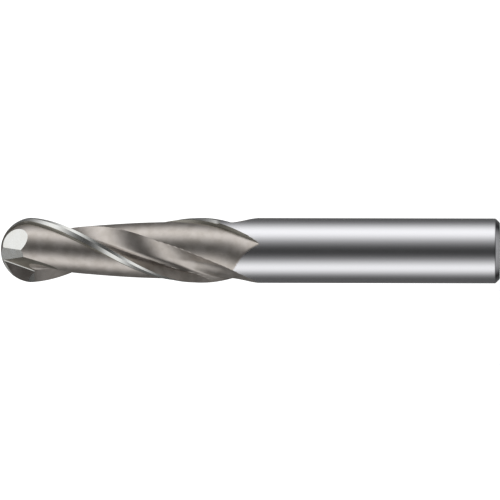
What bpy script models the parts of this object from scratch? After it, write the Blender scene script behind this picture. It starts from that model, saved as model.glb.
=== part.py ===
"""Two-flute ball-nose end mill, long series, with a plain parallel shank.

The tool stands on its shank: the origin is the centre of the shank's end face and +Z runs up the tool's
axis to the ball's tip. Below, "station" is the distance down from the tip, and "turn" is the angle about
the axis, counted from +X the way the flutes wind as the station grows. "Behind" an edge means further
round in that same direction, on the side that the cutting edge leaves as it cuts.
"""

import math

import bmesh
import bpy
from mathutils import Matrix, Vector

MM = 0.001

# Overall sizes: a 16 mm tool of the long series, which is 123 mm long with 63 mm of flute.
CUT_DIAMETER = 16.0 * MM
SHANK_DIAMETER = 16.0 * MM
OVERALL_LENGTH = 123.0 * MM
FLUTE_LENGTH = 63.0 * MM
HELIX_ANGLE = math.radians(30)
BALL_SWEEP = math.radians(16.5)
TEETH = 2

# The tooth, in a section across the axis.
WEB_THICKNESS = 8.4 * MM
FLOOR_TURN = math.radians(153)
RAKE_LEAN = math.radians(14)
PRIMARY_WIDTH = 0.84 * MM
PRIMARY_RELIEF = math.radians(7)
SECONDARY_RELIEF = math.radians(21.5)
LAND_WIDTH = 2.16 * MM
STEP_WIDTH = 0.5 * MM
BACK_DEPTH = 1.07 * MM
BACK_TURN = math.radians(32)
HEEL_RISE = 1.7 * MM
CORNER_BLEND = 0.35 * MM

# How the grinding wheels lift out of the work at the shank's end of the flutes. Each run-out is how far
# before the flute length the lifting starts. The slant is how much sooner it starts per radian of turn.
RELIEF_WHEEL_RADIUS = 1.5 * MM
RELIEF_RUNOUT = 8.8 * MM
FLUTE_WHEEL_RADIUS = 34.4 * MM
FLUTE_RUNOUT = 20.8 * MM
CORNER_RUNOUT = 19.5 * MM
CORNER_RUNOUT_RATE = 1.05
BACK_WHEEL_RADIUS = 13.0 * MM
BACK_RUNOUT = 4.4 * MM
BACK_RUNOUT_SLANT = 4.5 * MM
BACK_TAPER_LENGTH = 25.0 * MM
BACK_TAPER = 0.055
RUNOUT_TAIL = 1.8 * MM

# The gash that carries each flute in to the ball's tip.
GASH_LENGTH = 8.6 * MM
GASH_TILT = math.radians(18)
GASH_TURN = math.radians(150)

# Two flats behind each edge of the ball: turn, tilt towards the tip, and depth below the ball.
BALL_FLATS = (
    (math.radians(58.5), math.radians(31.3), 1.72 * MM),
    (math.radians(116.0), math.radians(34.6), 2.14 * MM),
)

# The shank, and the butt weld that joins it to the cutter.
WELD_BEHIND_FLUTES = 9.0 * MM
WELD_GAP = 0.3 * MM
NECK_ANGLE = math.radians(30)
SHANK_CHAMFER = 1.1 * MM
CENTRE_DRILL_DIAMETER = 2.5 * MM
CENTRE_MOUTH_DIAMETER = 5.3 * MM
CENTRE_DEPTH = 5.5 * MM
CENTRE_CONE_ANGLE = math.radians(60)

# Fineness of the mesh.
BALL_ROWS = 11
FLUTE_ROW_STEP = 1.25 * MM
RUNOUT_ROW_STEP = 0.8 * MM
TIP_RING_STATION = 0.08 * MM
SHANK_SEGMENTS = 64
SMOOTH_ANGLE = math.radians(22)

CUT_RADIUS = CUT_DIAMETER / 2
SHANK_RADIUS = SHANK_DIAMETER / 2
FLOOR_DISTANCE = WEB_THICKNESS / 2
RELIEF_LENGTH = FLUTE_LENGTH - RELIEF_RUNOUT
RUNOUT_END = FLUTE_LENGTH + RUNOUT_TAIL
WELD_STATION = FLUTE_LENGTH + WELD_BEHIND_FLUTES
TOOTH_PITCH = 2 * math.pi / TEETH
HELIX_TURN_RATE = math.tan(HELIX_ANGLE) / CUT_RADIUS

# Turns, behind the cutting edge, of the step's top and foot and of the heel where back and flute meet.
LAND_TURN = LAND_WIDTH / CUT_RADIUS
STEP_FOOT_TURN = (LAND_WIDTH + STEP_WIDTH) / CUT_RADIUS
STEP_FOOT_RADIUS = CUT_RADIUS - BACK_DEPTH
HEEL_RADIUS = FLOOR_DISTANCE + HEEL_RISE
HEEL_TURN = FLOOR_TURN - math.acos(FLOOR_DISTANCE / HEEL_RADIUS)


def off_centre_arc(first_turn, first_radius, last_turn, last_radius, offset_turn):
    """Offset and radius of the arc through two polar points, with its centre towards the given turn."""
    first = first_radius * math.cos(first_turn - offset_turn)
    last = last_radius * math.cos(last_turn - offset_turn)
    offset = (first_radius**2 - last_radius**2) / (2 * (first - last))
    return offset, math.sqrt(first_radius**2 + offset**2 - 2 * offset * first)


BACK_OFFSET, BACK_ARC_RADIUS = off_centre_arc(
    STEP_FOOT_TURN, STEP_FOOT_RADIUS, HEEL_TURN, HEEL_RADIUS, BACK_TURN
)


def edge_turn(station):
    """Turn of the first cutting edge: a steady helix on the body, straightening out on the ball."""
    if station < CUT_RADIUS:
        power = math.tan(HELIX_ANGLE) / BALL_SWEEP
        return -BALL_SWEEP * (1 - (station / CUT_RADIUS) ** power)
    return (min(station, RUNOUT_END) - CUT_RADIUS) * HELIX_TURN_RATE


def blank_radius(station):
    """The turned blank: the ball, the cutting diameter, then a cone if the shank's diameter differs."""
    if station < CUT_RADIUS:
        return math.sqrt(CUT_RADIUS**2 - (CUT_RADIUS - station) ** 2)
    run = max(0.0, station - RUNOUT_END) * math.tan(NECK_ANGLE)
    if SHANK_RADIUS < CUT_RADIUS:
        return max(SHANK_RADIUS, CUT_RADIUS - run)
    return min(SHANK_RADIUS, CUT_RADIUS + run)


def lift(along, wheel_radius):
    """How far a wheel has risen once it has gone this far along its path past the point of lifting."""
    return max(0.0, along) ** 2 / (2 * wheel_radius)


def flute_lift(behind, station):
    """The flute's wheel lifts along lines parallel to the axis, but no faster than this at the corner."""
    slanted = station + (behind - FLOOR_TURN) / HELIX_TURN_RATE
    along = slanted - (FLUTE_LENGTH - FLUTE_RUNOUT)
    at_corner = (station - (FLUTE_LENGTH - CORNER_RUNOUT)) * CORNER_RUNOUT_RATE
    return lift(min(along, at_corner), FLUTE_WHEEL_RADIUS)


def back_lift(behind, station):
    """The body clearance grows slowly shallower, then its wheel lifts, sooner towards the heel."""
    past_foot = behind - STEP_FOOT_TURN
    share = max(0.0, past_foot / (HEEL_TURN - STEP_FOOT_TURN))
    taper = max(0.0, station - (FLUTE_LENGTH - BACK_TAPER_LENGTH)) * BACK_TAPER * share
    start = FLUTE_LENGTH - BACK_RUNOUT - past_foot * BACK_RUNOUT_SLANT
    return taper + lift(station - start, BACK_WHEEL_RADIUS)


def flat_radius(behind, foot_turn, foot_distance):
    """Polar radius of a straight line whose nearest point to the axis has this turn and distance."""
    swing = behind - foot_turn
    if math.cos(swing) < 0.05:
        return math.inf
    return foot_distance / math.cos(swing)


def land_radius(behind, station):
    """The relieved land: a narrow primary flat, a steeper secondary one, kept the same width on the ball."""
    blank = blank_radius(station)
    scaled = behind * min(1.0, blank / CUT_RADIUS)
    first = flat_radius(scaled, PRIMARY_RELIEF, math.cos(PRIMARY_RELIEF))
    joint = PRIMARY_WIDTH / CUT_RADIUS
    joint_radius = flat_radius(joint, PRIMARY_RELIEF, math.cos(PRIMARY_RELIEF))
    second = flat_radius(scaled, joint + SECONDARY_RELIEF, joint_radius * math.cos(SECONDARY_RELIEF))
    out = lift(station - RELIEF_LENGTH, RELIEF_WHEEL_RADIUS)
    return min(blank, blank * min(first, second) + out)


def back_radius(behind, station):
    """The body clearance behind the land: a short step down to an arc struck off the axis."""
    if behind <= LAND_TURN:
        return math.inf
    swing = behind - BACK_TURN
    side = BACK_OFFSET * math.sin(swing)
    arc = BACK_OFFSET * math.cos(swing) + math.sqrt(BACK_ARC_RADIUS**2 - side**2)
    step = CUT_RADIUS - (behind - LAND_TURN) / (STEP_FOOT_TURN - LAND_TURN) * BACK_DEPTH
    return max(step, arc) + back_lift(behind, station)


def flute_radius(behind, station, turn):
    """The flute: a flat floor and the rake face ahead of the next edge, with the corner between them blended."""
    floor = flat_radius(behind, FLOOR_TURN, FLOOR_DISTANCE + flute_lift(behind, station))
    if station < GASH_LENGTH:
        gash_distance = FLOOR_DISTANCE - (GASH_LENGTH - station) * math.tan(GASH_TILT)
        floor = min(floor, flat_radius(turn, GASH_TURN, gash_distance))
    ahead = max(0.0, TOOTH_PITCH - behind)
    rake = blank_radius(station) * math.sin(RAKE_LEAN) / math.sin(min(math.pi / 2, RAKE_LEAN + ahead))
    if math.isinf(floor):
        return floor
    return (floor + rake + math.hypot(floor - rake, CORNER_BLEND)) / 2


def tool_radius(behind, station, turn):
    """Radius of the ground tool, this far behind a cutting edge. At the edge itself it is the blank's."""
    blank = blank_radius(station)
    if behind == 0 or station >= RUNOUT_END:
        return blank
    return min(
        land_radius(behind, station),
        back_radius(behind, station),
        flute_radius(behind, station, turn),
        blank,
    )


def spread(stops, widest):
    """The stops, with evenly spaced values added wherever two of them are further apart than widest."""
    values = []
    for low, high in zip(stops, stops[1:]):
        steps = max(1, math.ceil((high - low) / widest - 1e-9))
        values += [low + (high - low) * i / steps for i in range(steps)]
    return values


def section_columns():
    """How far behind the edge each column of the mesh lies, with one on every corner of the section."""
    flute_mouth = FLOOR_TURN - math.acos(FLOOR_DISTANCE / CUT_RADIUS)
    corner = TOOTH_PITCH
    while blade_is_outside_floor(corner):
        corner -= math.radians(0.25)
    stops = [0.0, PRIMARY_WIDTH / CUT_RADIUS, LAND_TURN, STEP_FOOT_TURN]
    stops += spread([STEP_FOOT_TURN, flute_mouth, HEEL_TURN], math.radians(11))[1:]
    stops += spread([HEEL_TURN, corner], math.radians(7.5))
    stops += spread([corner, TOOTH_PITCH], math.radians(2.7))
    return stops


def blade_is_outside_floor(behind):
    ahead = TOOTH_PITCH - behind
    rake = CUT_RADIUS * math.sin(RAKE_LEAN) / math.sin(RAKE_LEAN + ahead)
    return rake > flat_radius(behind, FLOOR_TURN, FLOOR_DISTANCE)


def body_stations():
    """Stations of the rings of points, from the ball's tip to the weld."""
    ball = [CUT_RADIUS * (1 - math.cos(math.pi / 2 * i / BALL_ROWS)) for i in range(1, BALL_ROWS)]
    flutes = spread([CUT_RADIUS, RELIEF_LENGTH], FLUTE_ROW_STEP)
    runout = spread([RELIEF_LENGTH, RUNOUT_END], RUNOUT_ROW_STEP)
    neck = abs(CUT_RADIUS - SHANK_RADIUS) / math.tan(NECK_ANGLE)
    plain = [RUNOUT_END, RUNOUT_END + neck] if neck else [RUNOUT_END]
    return [TIP_RING_STATION] + ball + flutes + runout + plain + [WELD_STATION]


def point_at(station, turn, radius):
    return Vector((radius * math.cos(turn), -radius * math.sin(turn), OVERALL_LENGTH - station))


def grind_flat(shape, turn, tilt, depth, tooth):
    """Takes off everything outside a plane behind one edge of the ball, and closes the cut."""
    outward = Vector((math.cos(tilt) * math.cos(turn), -math.cos(tilt) * math.sin(turn), math.sin(tilt)))
    outward = Matrix.Rotation(-tooth * TOOTH_PITCH, 3, "Z") @ outward
    centre = Vector((0, 0, OVERALL_LENGTH - CUT_RADIUS))
    everything = shape.verts[:] + shape.edges[:] + shape.faces[:]
    cut = bmesh.ops.bisect_plane(
        shape,
        geom=everything,
        dist=1e-7,
        plane_co=centre + outward * (CUT_RADIUS - depth),
        plane_no=outward,
        clear_outer=True,
    )
    rim = [item for item in cut["geom_cut"] if isinstance(item, bmesh.types.BMEdge)]
    bmesh.ops.holes_fill(shape, edges=rim, sides=0)


def ground_cutter():
    """The fluted cutter as a closed mesh: rings of points down the tool, then the flats on the ball."""
    columns = section_columns()
    shape = bmesh.new()
    tip = shape.verts.new((0, 0, OVERALL_LENGTH))
    rings = []
    for station in body_stations():
        ring = []
        for tooth in range(TEETH):
            for behind in columns:
                turn = edge_turn(station) + behind
                radius = tool_radius(behind, station, turn)
                ring.append(shape.verts.new(point_at(station, turn + tooth * TOOTH_PITCH, radius)))
        rings.append(ring)
    count = len(rings[0])
    for i in range(count):
        after = (i + 1) % count
        shape.faces.new((tip, rings[0][i], rings[0][after]))
        for upper, lower in zip(rings, rings[1:]):
            shape.faces.new((upper[i], lower[i], lower[after], upper[after]))
    shape.faces.new(rings[-1][::-1])
    for tooth in range(TEETH):
        for turn, tilt, depth in BALL_FLATS:
            grind_flat(shape, turn, tilt, depth, tooth)
    bmesh.ops.recalc_face_normals(shape, faces=shape.faces[:])
    return shape


def shank_outline():
    """Half-section of the shank from the centre hole's point, round the end face, to the weld."""
    drill = CENTRE_DRILL_DIAMETER / 2
    mouth = CENTRE_MOUTH_DIAMETER / 2
    cone_depth = (mouth - drill) / math.tan(CENTRE_CONE_ANGLE / 2)
    point_depth = drill / math.tan(CENTRE_CONE_ANGLE)
    weld_height = OVERALL_LENGTH - WELD_STATION - WELD_GAP
    return (
        (0, CENTRE_DEPTH + point_depth),
        (drill, CENTRE_DEPTH),
        (drill, cone_depth),
        (mouth, 0),
        (SHANK_RADIUS - SHANK_CHAMFER, 0),
        (SHANK_RADIUS, SHANK_CHAMFER),
        (SHANK_RADIUS, weld_height),
        (0, weld_height),
    )


def turned_shank():
    """The shank, spun about the axis from its half-section."""
    shape = bmesh.new()
    points = [shape.verts.new((radius, 0, height)) for radius, height in shank_outline()]
    edges = [shape.edges.new(pair) for pair in zip(points, points[1:])]
    bmesh.ops.spin(
        shape,
        geom=points + edges,
        axis=(0, 0, 1),
        cent=(0, 0, 0),
        angle=2 * math.pi,
        steps=SHANK_SEGMENTS,
        use_merge=True,
    )
    bmesh.ops.remove_doubles(shape, verts=shape.verts[:], dist=1e-6)
    bmesh.ops.recalc_face_normals(shape, faces=shape.faces[:])
    return shape


def steel(name, colour, roughness):
    material = bpy.data.materials.new(name)
    material.use_nodes = True
    shader = material.node_tree.nodes["Principled BSDF"]
    shader.inputs["Base Color"].default_value = (*colour, 1)
    shader.inputs["Roughness"].default_value = roughness
    shader.inputs["Metallic"].default_value = 1.0
    return material


def add_piece(name, shape, material, parent):
    mesh = bpy.data.meshes.new(name)
    shape.to_mesh(mesh)
    shape.free()
    mesh.shade_smooth()
    mesh.set_sharp_from_angle(angle=SMOOTH_ANGLE)
    mesh.materials.append(material)
    piece = bpy.data.objects.new(name, mesh)
    bpy.context.scene.collection.objects.link(piece)
    piece.parent = parent
    return piece


def build():
    for old in list(bpy.data.objects):
        bpy.data.objects.remove(old)
    end_mill = bpy.data.objects.new("end_mill", None)
    bpy.context.scene.collection.objects.link(end_mill)
    ground_steel = steel("ground high-speed steel", (0.50, 0.47, 0.44), 0.32)
    polished_steel = steel("polished shank steel", (0.72, 0.72, 0.74), 0.14)
    add_piece("fluted_cutter", ground_cutter(), ground_steel, end_mill)
    add_piece("shank", turned_shank(), polished_steel, end_mill)


build()
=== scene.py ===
# A ball-nose end mill: the spiral cutter and its shank, standing on the shank's end.

import math

import bmesh
import bpy
from mathutils import Matrix, Vector


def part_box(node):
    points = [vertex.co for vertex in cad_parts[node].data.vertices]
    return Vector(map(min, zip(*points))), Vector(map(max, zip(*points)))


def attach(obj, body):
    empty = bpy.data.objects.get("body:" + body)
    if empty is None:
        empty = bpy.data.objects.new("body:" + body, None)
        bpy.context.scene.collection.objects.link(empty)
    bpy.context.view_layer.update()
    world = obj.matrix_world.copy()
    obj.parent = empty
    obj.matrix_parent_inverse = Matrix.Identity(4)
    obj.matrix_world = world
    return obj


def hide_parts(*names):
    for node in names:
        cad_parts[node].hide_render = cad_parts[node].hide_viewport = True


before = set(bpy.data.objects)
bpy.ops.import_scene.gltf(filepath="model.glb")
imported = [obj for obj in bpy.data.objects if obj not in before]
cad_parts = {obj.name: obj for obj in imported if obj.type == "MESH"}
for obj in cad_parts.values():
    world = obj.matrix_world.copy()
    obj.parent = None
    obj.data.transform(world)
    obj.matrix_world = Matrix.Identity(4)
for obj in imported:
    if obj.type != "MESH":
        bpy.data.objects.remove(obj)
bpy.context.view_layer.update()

mm = 0.001
cutterLow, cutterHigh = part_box("fluted_cutter")
shankLow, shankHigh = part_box("shank")
radius = (cutterHigh.x - cutterLow.x) / 2
tipHeight = cutterHigh.z
weldHeight = cutterLow.z
fullTurn = 2 * math.pi


class Sum:
    # A number in a node tree: working with it adds Math nodes.

    def __init__(self, tree, socket):
        self.tree = tree
        self.socket = socket

    def work(self, operation, *others):
        node = self.tree.nodes.new("ShaderNodeMath")
        node.operation = operation
        for place, value in enumerate((self, *others)):
            if isinstance(value, Sum):
                self.tree.links.new(value.socket, node.inputs[place])
            else:
                node.inputs[place].default_value = value
        return Sum(self.tree, node.outputs[0])

    def __add__(self, other):
        return self.work("ADD", other)

    def __sub__(self, other):
        return self.work("SUBTRACT", other)

    def __mul__(self, other):
        return self.work("MULTIPLY", other)

    def __truediv__(self, other):
        return self.work("DIVIDE", other)

    def __neg__(self):
        return self.work("MULTIPLY", -1)

    def power(self, other):
        return self.work("POWER", other)

    def atMost(self, other):
        return self.work("MINIMUM", other)

    def atLeast(self, other):
        return self.work("MAXIMUM", other)


def addNode(tree, kind, inputs=None, **settings):
    node = tree.nodes.new(kind)
    for name, value in settings.items():
        setattr(node, name, value)
    for name, value in (inputs or {}).items():
        if isinstance(value, Sum):
            value = value.socket
        if isinstance(value, bpy.types.NodeSocket):
            tree.links.new(value, node.inputs[name])
        else:
            node.inputs[name].default_value = value
    return node


def newTree(name, sizes):
    tree = bpy.data.node_groups.new(name, "GeometryNodeTree")
    tree.interface.new_socket("Geometry", in_out="INPUT", socket_type="NodeSocketGeometry")
    for label, value in sizes.items():
        whole = isinstance(value, int)
        kind = "NodeSocketInt" if whole else "NodeSocketFloat"
        tree.interface.new_socket(label, in_out="INPUT", socket_type=kind).default_value = value
    tree.interface.new_socket("Geometry", in_out="OUTPUT", socket_type="NodeSocketGeometry")
    start = tree.nodes.new("NodeGroupInput")
    end = tree.nodes.new("NodeGroupOutput")
    return tree, start, end


def addTree(piece, tree, sizes):
    modifier = piece.modifiers.new(tree.name, "NODES")
    modifier.node_group = tree
    for item in tree.interface.items_tree:
        if item.item_type == "SOCKET" and item.in_out == "INPUT" and item.name in sizes:
            modifier[item.identifier] = sizes[item.name]


def settle(piece):
    # Turns what the modifiers make into a plain mesh on the same object.
    seen = piece.evaluated_get(bpy.context.evaluated_depsgraph_get())
    mesh = bpy.data.meshes.new_from_object(seen)
    piece.modifiers.clear()
    piece.data = mesh
    mesh.name = piece.name
    return mesh


def newPiece(name, mesh):
    piece = bpy.data.objects.new(name, mesh)
    bpy.context.scene.collection.objects.link(piece)
    return piece


def newMaterial(name):
    material = bpy.data.materials.new(name)
    material.use_nodes = True
    tree = material.node_tree
    return material, tree, tree.nodes["Principled BSDF"]


groundSteel = {
    "colour": (0.60, 0.553, 0.518),
    "roughness": 0.36,
    "roughnessSwing": 0.10,
    "streakDepth": 0.0012 * mm,
    "tint": 0.09,
}

grindingMarks = {
    "streakScale": 5200.0,
    "streakStretch": 0.04,  # share of the scale that is left along the flute
    "blotchScale": 420.0,
    "blotchFrom": 0.38,
    "blotchTo": 0.62,
    "warmth": 0.98,
    "coolness": 0.99,
}


def makeGroundSteel(name, look):
    material, tree, shader = newMaterial(name)
    place = addNode(tree, "ShaderNodeTexCoord").outputs["Object"]
    height = Sum(tree, addNode(tree, "ShaderNodeSeparateXYZ", {"Vector": place}).outputs["Z"])
    twist = (height * -1 + tipHeight) * (math.tan(cutter["helix"]) / radius)
    straight = addNode(tree, "ShaderNodeVectorRotate", {"Vector": place, "Angle": twist},
                       rotation_type="Z_AXIS").outputs["Vector"]
    # Wheel marks run along the flutes, so the pattern is stretched along them.
    marks = grindingMarks
    stretched = addNode(tree, "ShaderNodeMapping",
                        {"Vector": straight, "Scale": (1, 1, marks["streakStretch"])}).outputs["Vector"]
    streaks = addNode(tree, "ShaderNodeTexNoise",
                      {"Vector": stretched, "Scale": marks["streakScale"], "Detail": 3.0})
    blotches = addNode(tree, "ShaderNodeTexNoise",
                       {"Vector": place, "Scale": marks["blotchScale"], "Detail": 4.0})
    swing = look["roughnessSwing"]
    rough = Sum(tree, blotches.outputs["Fac"]) * swing + Sum(tree, streaks.outputs["Fac"]) * swing
    rough = rough + (look["roughness"] - swing)
    tree.links.new(rough.socket, shader.inputs["Roughness"])
    bump = addNode(tree, "ShaderNodeBump", {"Height": streaks.outputs["Fac"], "Strength": 1.0,
                                            "Distance": look["streakDepth"]})
    tree.links.new(bump.outputs["Normal"], shader.inputs["Normal"])
    # Faint blotches, a little darker and warmer or lighter and cooler than the steel itself.
    red, green, blue = look["colour"]
    dark, light = 1 - look["tint"], 1 + look["tint"]
    darkTone = (red * dark, green * dark, blue * dark * marks["warmth"], 1)
    lightTone = (red * light * marks["coolness"], green * light, blue * light, 1)
    ramp = addNode(tree, "ShaderNodeValToRGB", {"Fac": blotches.outputs["Fac"]})
    first, last = ramp.color_ramp.elements
    first.position, first.color = marks["blotchFrom"], darkTone
    last.position, last.color = marks["blotchTo"], lightTone
    tree.links.new(ramp.outputs["Color"], shader.inputs["Base Color"])
    shader.inputs["Metallic"].default_value = 1.0
    return material


# A darker copy of the steel, used as painted shade on the step wall behind each land and on each gash's
# floor wall.
paintedShadeSteel = {
    "colour": (0.30, 0.285, 0.25),
    "roughness": 0.48,
    "roughnessSwing": 0.08,
    "streakDepth": 0.002 * mm,
    "tint": 0.10,
}


# Smoother honed steel for the lands and the nose flats; its lighter colour is a painted highlight.
honedSteelWithPaintedSheen = {
    "colour": (0.745, 0.745, 0.73),
    "roughness": 0.22,
    "roughnessSwing": 0.06,
    "streakDepth": 0.0006 * mm,
    "tint": 0.03,
}


shankSteel = {
    "colour": (0.80, 0.80, 0.825),
    "roughness": 0.15,
    "roughnessSwing": 0.05,
    "ringDepth": 0.0002 * mm,
    "ringScale": 9000.0,
    "ringSpread": 0.02,  # share of the scale that is left across the shank
}


def makeShankSteel():
    material, tree, shader = newMaterial("polished_shank_steel")
    place = addNode(tree, "ShaderNodeTexCoord").outputs["Object"]
    # Cylindrical grinding leaves fine rings round the shank.
    across = shankSteel["ringSpread"]
    rings = addNode(tree, "ShaderNodeMapping",
                    {"Vector": place, "Scale": (across, across, 1)}).outputs["Vector"]
    marks = addNode(tree, "ShaderNodeTexNoise",
                    {"Vector": rings, "Scale": shankSteel["ringScale"], "Detail": 3.0})
    rough = Sum(tree, marks.outputs["Fac"]) * shankSteel["roughnessSwing"]
    rough = rough + (shankSteel["roughness"] - shankSteel["roughnessSwing"] / 2)
    tree.links.new(rough.socket, shader.inputs["Roughness"])
    bump = addNode(tree, "ShaderNodeBump", {"Height": marks.outputs["Fac"], "Strength": 1.0,
                                            "Distance": shankSteel["ringDepth"]})
    tree.links.new(bump.outputs["Normal"], shader.inputs["Normal"])
    shader.inputs["Base Color"].default_value = (*shankSteel["colour"], 1)
    shader.inputs["Metallic"].default_value = 1.0
    return material


cutter = {
    "teeth": 2,
    "helix": math.radians(30),
    "ballSweep": math.radians(16.5),
    "threadEnd": 66 * mm,
    # The tooth in a section across the axis; turns are counted back from the cutting edge.
    "webThickness": 8.16 * mm,
    "floorTurn": math.radians(153.5),
    "floorHollow": 25 * mm,
    "floorFlattening": 10 * mm,
    "floorSpan": math.radians(62),
    "rakeLean": math.radians(14),
    "cornerBlend": 0.5 * mm,
    "primaryWidth": 0.84 * mm,
    "primaryRelief": math.radians(7),
    "secondaryRelief": math.radians(21.5),
    "landTurn": math.radians(14.4),
    "stepFootTurn": math.radians(18.6),
    "backDepth": 1.07 * mm,
    "backOffset": 1.14 * mm,
    "backTurn": math.radians(32),
    # How the grinding wheels lift out, in distances down from the tip.
    "reliefEnd": 54.2 * mm,
    "reliefWheel": 1.5 * mm,
    "fluteLiftStart": 42.2 * mm,
    "fluteWheel": 34.4 * mm,
    "fluteSlant": 13.86 * mm,
    "cornerLiftStart": 38 * mm,
    "cornerLiftRate": 0.75,
    "liftBlend": 8 * mm,
    "backLiftStart": 58.6 * mm,
    "backSlant": 4.5 * mm,
    "backWheel": 13 * mm,
    "taperStart": 38 * mm,
    "backTaper": 0.055,
    # Fineness of the mesh.
    "tipRing": 0.02 * mm,
    "columnStep": math.radians(1.4),
    "ringStep": 0.25 * mm,
    "sharpAngle": math.radians(9),
    "landSpread": 4,  # most that the land's columns spread apart near the tip
}

pitch = fullTurn / cutter["teeth"]
floorDistance = cutter["webThickness"] / 2
untouched = 1.0  # a metre out stands for a face that doesn't reach this far round
farShare = 9.0  # the same, as a share of the radius


def flatReach(turn, footTurn, footDistance):
    # Distance from the axis to a straight line, looking out at this turn.
    return footDistance / max(0.05, math.cos(turn - footTurn))


def landShare(turn):
    # The relieved land as a share of the blank's radius: a narrow primary flat and a steeper secondary one.
    joint = cutter["primaryWidth"] / radius
    primary = cutter["primaryRelief"]
    jointShare = flatReach(joint, primary, math.cos(primary))
    second = cutter["secondaryRelief"]
    return min(flatReach(turn, primary, math.cos(primary)),
               flatReach(turn, joint + second, jointShare * math.cos(second)))


def backArc(turn):
    # The body clearance, an arc struck a little off the axis.
    offset = cutter["backOffset"]
    arcRadius = radius - cutter["backDepth"] - offset
    swing = turn - cutter["backTurn"]
    return offset * math.cos(swing) + math.sqrt(arcRadius**2 - (offset * math.sin(swing)) ** 2)


def backReach(turn):
    # Behind the land a short step drops to the arc.
    start, foot = cutter["landTurn"], cutter["stepFootTurn"]
    if turn < start:
        return untouched
    step = radius - (radius - backArc(foot)) * (turn - start) / (foot - start)
    return max(step, backArc(turn))


def floorReach(turn):
    # The flute's floor, slightly hollow: an arc whose centre lies outside the tool.
    swing = turn - cutter["floorTurn"]
    far = floorDistance + cutter["floorHollow"]
    inside = cutter["floorHollow"] ** 2 - (far * math.sin(swing)) ** 2
    if abs(swing) > cutter["floorSpan"] or inside < 0:
        return untouched
    return far * math.cos(swing) - math.sqrt(inside)


def rakeShare(turn):
    ahead = max(0.0, pitch - turn)
    lean = cutter["rakeLean"]
    return math.sin(lean) / math.sin(min(math.pi / 2, lean + ahead))


def spread(stops, widest):
    values = []
    for low, high in zip(stops, stops[1:]):
        steps = max(1, math.ceil((high - low) / widest - 1e-9))
        values += [low + (high - low) * i / steps for i in range(steps)]
    return values


def crossing(start, step, isPast):
    turn = start
    while not isPast(turn):
        turn += step
    return turn


def sectionTurns():
    # A column of points on every corner of the section, and even ones between.
    step = math.radians(0.05)
    landEnd = crossing(cutter["landTurn"], step, lambda turn: backReach(turn) < radius * landShare(turn))
    corner = crossing(pitch, -step, lambda turn: radius * rakeShare(turn) < floorReach(turn))
    joint = cutter["primaryWidth"] / radius
    stops = [0.0, joint, cutter["landTurn"], landEnd, cutter["stepFootTurn"], heelTurn, corner, pitch]
    return spread(stops, cutter["columnStep"])


heelTurn = crossing(pitch / 2, math.radians(0.05), lambda turn: floorReach(turn) < backArc(turn))


def makeSection():
    # One loop of points round the tool. Each remembers where it is behind its tooth's edge.
    names = ("turn", "toothTurn", "landShare", "ballShare", "backReach", "rakeShare",
             "floorCos", "floorSin", "floorClear")
    columns = {name: [] for name in names}
    for tooth in range(cutter["teeth"]):
        for turn in sectionTurns():
            columns["turn"].append(turn)
            columns["toothTurn"].append(tooth * pitch)
            onLand = turn < cutter["stepFootTurn"]
            columns["landShare"].append(landShare(turn) if onLand else farShare)
            columns["ballShare"].append(1.0 if onLand else backArc(cutter["stepFootTurn"]) / radius)
            columns["backReach"].append(backReach(turn))
            columns["rakeShare"].append(rakeShare(turn))
            swing = turn - cutter["floorTurn"]
            columns["floorCos"].append(math.cos(swing))
            columns["floorSin"].append(math.sin(swing))
            columns["floorClear"].append(0.0 if abs(swing) < cutter["floorSpan"] else untouched)
    count = len(columns["turn"])
    points = [(math.cos(fullTurn * i / count) * radius, math.sin(fullTurn * i / count) * radius, 0)
              for i in range(count)]
    mesh = bpy.data.meshes.new("cutter_section")
    mesh.from_pydata(points, [(i, (i + 1) % count) for i in range(count)], [])
    for name, values in columns.items():
        mesh.attributes.new(name, "FLOAT", "POINT").data.foreach_set("value", values)
    return mesh


def liftStart(end, depth, wheel):
    # Where a wheel starts to lift, so that a cut this deep runs out at its end station.
    return end - math.sqrt(2 * wheel * depth)


spiralSizes = {
    "Radius": radius,
    "Length": tipHeight - weldHeight,
    "Thread end": cutter["threadEnd"],
    "Helix rate": math.tan(cutter["helix"]) / radius,
    "Ball sweep": cutter["ballSweep"],
    "Ring step": cutter["ringStep"],
    "Floor distance": floorDistance,
    "Floor hollow": cutter["floorHollow"],
    "Corner blend": cutter["cornerBlend"],
}


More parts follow.
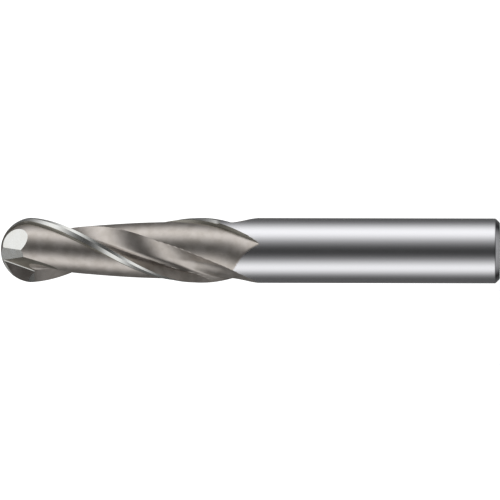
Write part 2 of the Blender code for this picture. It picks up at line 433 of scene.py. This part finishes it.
def makeSpiralTree():
    tree, start, end = newTree("spiral_cutter", spiralSizes)
    size = {name: Sum(tree, start.outputs[name]) for name in spiralSizes}
    reach = size["Radius"]

    def column(name):
        node = addNode(tree, "GeometryNodeInputNamedAttribute", {"Name": name}, data_type="FLOAT")
        return Sum(tree, node.outputs["Attribute"])

    # The path runs over the ball from the tip, then down the side, in even steps.
    quarter = reach * (math.pi / 2)
    travel = size["Length"] - reach + quarter
    top = addNode(tree, "ShaderNodeCombineXYZ", {"Z": travel}).outputs["Vector"]
    line = addNode(tree, "GeometryNodeCurvePrimitiveLine", {"End": top})
    rings = (travel / size["Ring step"]).work("ROUND")
    path = addNode(tree, "GeometryNodeResampleCurve", {"Curve": line.outputs["Curve"], "Count": rings})
    travelled = addNode(tree, "GeometryNodeSplineParameter").outputs["Length"]
    tagged = addNode(tree, "GeometryNodeStoreNamedAttribute",
                     {"Geometry": path.outputs["Curve"], "Name": "travelled", "Value": travelled},
                     data_type="FLOAT", domain="POINT")
    section = addNode(tree, "GeometryNodeMeshToCurve", {"Mesh": start.outputs["Geometry"]})
    swept = addNode(tree, "GeometryNodeCurveToMesh",
                    {"Curve": tagged.outputs["Geometry"], "Profile Curve": section.outputs["Curve"],
                     "Fill Caps": True})

    # Station: how far down from the tip each ring lies, and how wide the blank is there.
    covered = column("travelled").atLeast(cutter["tipRing"])
    onBall = reach * (-(covered.atMost(quarter) / reach).work("COSINE") + 1)
    station = onBall + (covered - quarter).atLeast(0)
    onBall = station.atMost(reach)
    blank = (onBall * (reach * 2 - onBall)).work("SQRT")

    # Turn of the edge: it straightens over the ball, then winds at the helix.
    power = size["Helix rate"] * reach / size["Ball sweep"]
    winding = (station.atMost(size["Thread end"]) - reach).atLeast(0) * size["Helix rate"]
    edgeTurn = winding - size["Ball sweep"] * (-(onBall / reach).power(power) + 1)

    # The land keeps its width on the ball, so its columns spread apart towards the tip.
    turn = column("turn")
    foot = cutter["stepFootTurn"]
    widen = (reach / blank).atMost(cutter["landSpread"])
    landPart = turn.atMost(foot) * widen
    rest = (turn - foot).atLeast(0) * (-(widen * foot) + pitch) / (pitch - foot)
    behind = landPart + rest

    def lift(past, wheel):
        return past.atLeast(0).power(2) / (2 * wheel)

    landDepth = radius * (1 - landShare(cutter["landTurn"]))
    landStart = liftStart(cutter["reliefEnd"], landDepth, cutter["reliefWheel"])
    land = blank * column("landShare") + lift(station - landStart, cutter["reliefWheel"])

    # The body clearance grows slowly shallower and then runs out, sooner the further it is behind the land.
    share = (behind - foot) / (heelTurn - foot)
    tapered = (station - cutter["taperStart"]).atLeast(0) * cutter["backTaper"] * share
    backStart = -(behind - foot) * cutter["backSlant"] + cutter["backLiftStart"]
    back = column("backReach") + tapered.atLeast(0) + lift(station - backStart, cutter["backWheel"])
    back = back.atMost(blank * column("ballShare") + (station - reach).atLeast(0) * farShare)

    # The flute's wheel lifts along a slant, later at the heel than at the corner, and its hollow flattens.
    slanted = station + (behind - cutter["floorTurn"]) * cutter["fluteSlant"]
    atCorner = (station - cutter["cornerLiftStart"]) * cutter["cornerLiftRate"]
    lifted = (slanted - cutter["fluteLiftStart"]).work("SMOOTH_MIN", atCorner, cutter["liftBlend"])
    flatter = (station - cutter["cornerLiftStart"]).atLeast(0) / cutter["floorFlattening"]
    hollow = size["Floor hollow"] * (flatter.power(2) + 1)
    far = size["Floor distance"] + hollow + lift(lifted, cutter["fluteWheel"])
    inside = (hollow.power(2) - (far * column("floorSin")).power(2)).atLeast(0)
    floor = far * column("floorCos") - inside.work("SQRT") + column("floorClear")
    rake = blank * column("rakeShare")
    gap = ((floor - rake).power(2) + size["Corner blend"].power(2)).work("SQRT")
    flute = (floor + rake + gap) / 2
    onEdge = (-turn * 1e6 + 1).atLeast(0) * untouched  # the edge itself stays on the blank
    profile = land.atMost(back).atMost(flute + onEdge).atMost(blank)

    around = column("toothTurn") + edgeTurn + behind
    spot = addNode(tree, "ShaderNodeCombineXYZ",
                   {"X": profile * around.work("COSINE"), "Y": -(profile * around.work("SINE")),
                    "Z": -station + tipHeight})
    placed = addNode(tree, "GeometryNodeSetPosition",
                     {"Geometry": swept.outputs["Mesh"], "Position": spot.outputs["Vector"]})
    real = addNode(tree, "GeometryNodeRealizeInstances", {"Geometry": placed.outputs["Geometry"]})
    painted = addNode(tree, "GeometryNodeSetMaterial",
                      {"Geometry": real.outputs["Geometry"], "Material": steelOfFlutes})
    tree.links.new(painted.outputs["Geometry"], end.inputs["Geometry"])
    return tree


steelOfFlutes = makeGroundSteel("ground_high_speed_steel", groundSteel)
steelOfLandsWithPaintedSheen = makeGroundSteel("honed_high_speed_steel_with_painted_sheen", honedSteelWithPaintedSheen)
steelDarkenedAsShade = makeGroundSteel("painted_shade_high_speed_steel", paintedShadeSteel)
steelOfShank = makeShankSteel()


spiral = newPiece("spiral_cutter", makeSection())
addTree(spiral, makeSpiralTree(), spiralSizes)
settle(spiral)
print("spiral cutter:", len(spiral.data.polygons), "faces")


nose = {
    # Each flat: turn behind the first edge, tilt towards the tip, depth under the ball.
    "flats": [
        (math.radians(58.5), math.radians(31.3), 1.72 * mm),
        (math.radians(114.0), math.radians(34.6), 2.11 * mm),
    ],
    # The gash is a rounded notch between two planes: turn, tilt, distance from the ball's centre.
    "gashRake": (math.radians(-97.9), math.radians(-14.0), -0.70 * mm),
    "gashFloor": (math.radians(-31.7), math.radians(13.0), 4.22 * mm),
    "gashRounding": 0.35 * mm,
    "roundingSteps": 8,
    "blockSize": 24 * mm,
    "close": 0.002 * mm,  # a point this near a plane lies on it
}
ballCentre = Vector((0, 0, tipHeight - radius))


def facing(turn, tilt, tooth):
    around = turn + tooth * pitch
    return Vector((math.cos(tilt) * math.cos(around), -math.cos(tilt) * math.sin(around), math.sin(tilt)))


def grindWith(piece, name, shape):
    # Takes the block away from the piece.
    bmesh.ops.recalc_face_normals(shape, faces=shape.faces[:])
    mesh = bpy.data.meshes.new(name)
    shape.to_mesh(mesh)
    shape.free()
    block = newPiece(name, mesh)
    block.hide_render = True
    cut = piece.modifiers.new(name, "BOOLEAN")
    cut.operation = "DIFFERENCE"
    cut.solver = "EXACT"
    cut.object = block
    return block


def flatBlock(outward, depth):
    side = nose["blockSize"]
    shape = bmesh.new()
    turned = outward.to_track_quat("Z", "Y").to_matrix().to_4x4()
    middle = ballCentre + outward * (radius - depth + side / 2)
    bmesh.ops.create_cube(shape, size=side, matrix=Matrix.Translation(middle) @ turned)
    return shape


def gashBlock(tooth):
    # A prism along the line where the two planes meet, with that corner rounded.
    rakeTurn, rakeTilt, rakeDistance = nose["gashRake"]
    floorTurn, floorTilt, floorDepth = nose["gashFloor"]
    rakeOut = facing(rakeTurn, rakeTilt, tooth)
    floorOut = facing(floorTurn, floorTilt, tooth)
    along = rakeOut.cross(floorOut).normalized()
    dot = rakeOut.dot(floorOut)
    rakePart = (rakeDistance - dot * floorDepth) / (1 - dot * dot)
    floorPart = (floorDepth - dot * rakeDistance) / (1 - dot * dot)
    corner = ballCentre + rakeOut * rakePart + floorOut * floorPart
    overRake = (floorOut - rakeOut * dot).normalized()
    overFloor = (rakeOut - floorOut * dot).normalized()
    # The rounding's centre is one rounding away from both planes.
    rounding = nose["gashRounding"]
    centre = corner + (rakeOut + floorOut) * (rounding / (1 + dot))
    sweep = rakeOut.angle(floorOut)
    outline = []
    for i in range(nose["roundingSteps"] + 1):
        part = i / nose["roundingSteps"]
        blend = rakeOut * math.sin((1 - part) * sweep) + floorOut * math.sin(part * sweep)
        outline.append(centre - blend * (rounding / math.sin(sweep)))
    far = nose["blockSize"]
    outline += [corner + overFloor * far, corner + (overFloor + overRake) * far, corner + overRake * far]
    shape = bmesh.new()
    ends = []
    for way in (-1, 1):
        ends.append([shape.verts.new(point + along * (way * far)) for point in outline])
    for i in range(len(outline)):
        after = (i + 1) % len(outline)
        shape.faces.new((ends[0][i], ends[0][after], ends[1][after], ends[1][i]))
    for loop in ends:
        shape.faces.new(loop)
    return shape


def grindNose(piece):
    blocks = []
    for tooth in range(cutter["teeth"]):
        for turn, tilt, depth in nose["flats"]:
            blocks.append(grindWith(piece, "flat_block", flatBlock(facing(turn, tilt, tooth), depth)))
        blocks.append(grindWith(piece, "gash_block", gashBlock(tooth)))
    settle(piece)
    for block in blocks:
        bpy.data.objects.remove(block)


grindNose(spiral)


def finishOrPaintedLightOf(face, mesh):
    # Index of the face's steel: 0 flutes, 1 lands and flats (smoother, and lighter as a painted highlight),
    # 2 bare shank, 3 the step and gash walls (darkened as painted shade).
    close = nose["close"]
    spots = [mesh.vertices[i].co for i in face.vertices]
    turns = [mesh.attributes["turn"].data[i].value for i in face.vertices]
    middle = face.center - ballCentre
    if all(spot.xy.length > radius - close and spot.z < tipHeight - cutter["reliefEnd"] for spot in spots):
        return 2
    if max(turns) == 0:
        for tooth in range(cutter["teeth"]):
            # The gash's floor wall takes the darkened steel as painted shade; its rake wall takes the
            # flutes' steel.
            for part, finishOrShade in (("gashRake", 0), ("gashFloor", 3)):
                turn, tilt, far = nose[part]
                outward = facing(turn, tilt, tooth)
                if abs(middle.dot(outward) - far) < close and face.normal.dot(outward) > 0.99:
                    return finishOrShade
        # Flats on the nose take the lighter honed steel, whose colour is a painted highlight.
        return 1
    # The step wall between land and back takes the darkened steel as painted shade.
    if min(turns) > cutter["landTurn"] * 0.999 and max(turns) < cutter["stepFootTurn"] * 1.001:
        return 3
    onTop = face.normal.xy.dot(middle.xy) > 0.6 * middle.xy.length
    return 1 if onTop and max(turns) < cutter["landTurn"] * 1.001 else 0


def paintCutter(piece):
    mesh = piece.data
    mesh.materials.clear()
    for material in (steelOfFlutes, steelOfLandsWithPaintedSheen, steelOfShank, steelDarkenedAsShade):
        mesh.materials.append(material)
    for face in mesh.polygons:
        face.material_index = finishOrPaintedLightOf(face, mesh)
    mesh.shade_smooth()
    mesh.set_sharp_from_angle(angle=cutter["sharpAngle"])


paintCutter(spiral)
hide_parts("fluted_cutter")
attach(spiral, "root")
print("nose ground:", len(spiral.data.polygons), "faces")


shankForm = {
    "chamfer": 1.1 * mm,
    "cornerRounding": 0.85 * mm,
    "drill": 2.5 * mm,
    "mouth": 5.3 * mm,
    "drillDepth": 5.5 * mm,
    "coneAngle": math.radians(60),
    "segments": 192,
    "sharpAngle": math.radians(12),
}


def roundedCorner(before, corner, after, rounding, steps=6):
    # Points of an arc that rounds this corner of an outline, touching both of its sides.
    before, corner, after = Vector(before), Vector(corner), Vector(after)
    inWay, outWay = (before - corner).normalized(), (after - corner).normalized()
    half = inWay.angle(outWay) / 2
    centre = corner + (inWay + outWay).normalized() * (rounding / math.sin(half))
    first = corner + inWay * (rounding / math.tan(half)) - centre
    last = corner + outWay * (rounding / math.tan(half)) - centre
    sweep = first.angle(last)
    points = []
    for i in range(steps + 1):
        part = i / steps
        arm = first * math.sin((1 - part) * sweep) + last * math.sin(part * sweep)
        points.append(tuple(centre + arm / math.sin(sweep)))
    return points


def shankOutline():
    drill, mouth = shankForm["drill"] / 2, shankForm["mouth"] / 2
    half = shankForm["coneAngle"] / 2
    coneDepth = (mouth - drill) / math.tan(half)
    pointDepth = drill / math.tan(shankForm["coneAngle"])
    outer, chamfer = radius, shankForm["chamfer"]
    top = weldHeight
    low = (outer - chamfer, 0)
    high = (outer, chamfer)
    rounding = shankForm["cornerRounding"]
    points = [(0, shankForm["drillDepth"] + pointDepth), (drill, shankForm["drillDepth"]),
              (drill, coneDepth), (mouth - 0.1 * mm, 0.17 * mm), (mouth, 0)]
    points += roundedCorner((mouth, 0), low, high, rounding)
    points += roundedCorner(low, high, (outer, top), rounding)
    points += [(outer, chamfer + (top - chamfer) * i / 12) for i in range(1, 13)]
    points.append((0, top))
    return points


def makeShank():
    shape = bmesh.new()
    points = [shape.verts.new((across, 0, height)) for across, height in shankOutline()]
    edges = [shape.edges.new(pair) for pair in zip(points, points[1:])]
    bmesh.ops.spin(shape, geom=points + edges, axis=(0, 0, 1), cent=(0, 0, 0), angle=fullTurn,
                   steps=shankForm["segments"], use_merge=True)
    bmesh.ops.remove_doubles(shape, verts=shape.verts[:], dist=0.001 * mm)
    bmesh.ops.recalc_face_normals(shape, faces=shape.faces[:])
    mesh = bpy.data.meshes.new("polished_shank")
    shape.to_mesh(mesh)
    shape.free()
    mesh.materials.append(steelOfShank)
    mesh.shade_smooth()
    mesh.set_sharp_from_angle(angle=shankForm["sharpAngle"])
    return newPiece("polished_shank", mesh)


shank = makeShank()
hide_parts("shank")
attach(shank, "root")
print("shank turned:", len(shank.data.polygons), "faces")


studio = {
    "floorSize": 1.6,
    "floorColour": (0.92, 0.92, 0.92, 1),
    "floorRoughness": 0.9,
    "white": 1.25,
    "viewTurn": math.radians(82.1),
    "viewLift": math.radians(-2.2),
    "distance": 1.5,
    "framing": 1.0010,
    "roll": math.radians(0.12),
    "aim": 0.11 * mm,
    # Two tall softboxes, one either side of the camera: turn from it, spread and brightness.
    "softboxes": [
        (math.radians(-63), math.radians(29), 1.0),
        (math.radians(69), math.radians(35), 1.1),
    ],
    "glowInFront": 0.015,
    "glowBehind": 0.10,
    "glowOfFloor": 0.30,
    # Heights of a reflected ray's direction, from -1 straight down to 0 level.
    "dimFrom": -0.12,
    "dimmest": -0.75,
    "dimmestShare": 0.10,
    "floorFrom": -0.6,
    "floorFull": -0.92,
}


def makeFloor():
    shape = bmesh.new()
    bmesh.ops.create_grid(shape, x_segments=1, y_segments=1, size=studio["floorSize"] / 2)
    mesh = bpy.data.meshes.new("floor")
    shape.to_mesh(mesh)
    shape.free()
    floor = newPiece("floor", mesh)
    material, tree, shader = newMaterial("pale_floor")
    shader.inputs["Base Color"].default_value = studio["floorColour"]
    shader.inputs["Roughness"].default_value = studio["floorRoughness"]
    mesh.materials.append(material)
    floor.visible_glossy = False  # the steel reflects the studio's panels and not the floor


def makeWorld():
    # The backdrop is white to the camera. What the steel reflects is a dim room with two softboxes,
    # each brightest along its middle and fading to both sides.
    world = bpy.data.worlds.new("studio")
    bpy.context.scene.world = world
    world.use_nodes = True
    tree = world.node_tree
    tree.nodes.clear()
    way = addNode(tree, "ShaderNodeTexCoord").outputs["Generated"]
    parts = addNode(tree, "ShaderNodeSeparateXYZ", {"Vector": way})
    view = studio["viewTurn"]
    east, north = Sum(tree, parts.outputs["X"]), Sum(tree, parts.outputs["Y"])
    front = east * math.cos(view) - north * math.sin(view)
    side = east * math.sin(view) + north * math.cos(view)
    away = side.work("ARCTAN2", front)
    # The white backdrop makes the room a little brighter behind the tool than in front of it.
    light = (-away.work("COSINE") + 1) * (studio["glowBehind"] / 2) + studio["glowInFront"]
    for turn, spreadOut, bright in studio["softboxes"]:
        light = light + (-((away - turn) / spreadOut).power(2)).work("EXPONENT") * bright
    # The room darkens towards the ground.
    shade = addNode(tree, "ShaderNodeMapRange",
                    {"Value": parts.outputs["Z"], "From Min": studio["dimmest"],
                     "From Max": studio["dimFrom"], "To Min": studio["dimmestShare"], "To Max": 1.0},
                    interpolation_type="SMOOTHSTEP")
    # Only a steep look down meets the pale floor at the tool's foot.
    under = addNode(tree, "ShaderNodeMapRange",
                    {"Value": parts.outputs["Z"], "From Min": studio["floorFull"],
                     "From Max": studio["floorFrom"], "To Min": studio["glowOfFloor"], "To Max": 0.0},
                    interpolation_type="SMOOTHSTEP")
    strength = light * Sum(tree, shade.outputs["Result"]) + Sum(tree, under.outputs["Result"])
    room = addNode(tree, "ShaderNodeBackground", {"Color": (1, 1, 1, 1), "Strength": strength})
    white = addNode(tree, "ShaderNodeBackground", {"Color": (1, 1, 1, 1), "Strength": studio["white"]})
    glossy = addNode(tree, "ShaderNodeLightPath").outputs["Is Glossy Ray"]
    mix = addNode(tree, "ShaderNodeMixShader", {"Fac": glossy})
    tree.links.new(white.outputs[0], mix.inputs[1])
    tree.links.new(room.outputs[0], mix.inputs[2])
    out = addNode(tree, "ShaderNodeOutputWorld")
    tree.links.new(mix.outputs[0], out.inputs["Surface"])


def makeCamera():
    data = bpy.data.cameras.new("camera")
    camera = newPiece("camera", data)
    turn, rise = studio["viewTurn"], studio["viewLift"]
    towards = Vector((math.cos(rise) * math.cos(turn), -math.cos(rise) * math.sin(turn), math.sin(rise)))
    right = Vector((0, 0, -1))
    right = (right - towards * right.dot(towards)).normalized()
    right = Matrix.Rotation(studio["roll"], 3, towards) @ right
    up = towards.cross(right)
    middle = Vector((0, 0, tipHeight / 2)) + up * studio["aim"]
    camera.location = middle + towards * studio["distance"]
    facingWay = Matrix((right, up, towards)).transposed().to_4x4()
    camera.matrix_world = Matrix.Translation(camera.location) @ facingWay
    data.sensor_width = 36
    data.lens = data.sensor_width * studio["distance"] / (tipHeight * studio["framing"])
    data.clip_start, data.clip_end = 0.01, 20
    bpy.context.scene.camera = camera


makeFloor()
makeWorld()
makeCamera()
bpy.context.scene.view_settings.view_transform = "Standard"
print("studio ready")
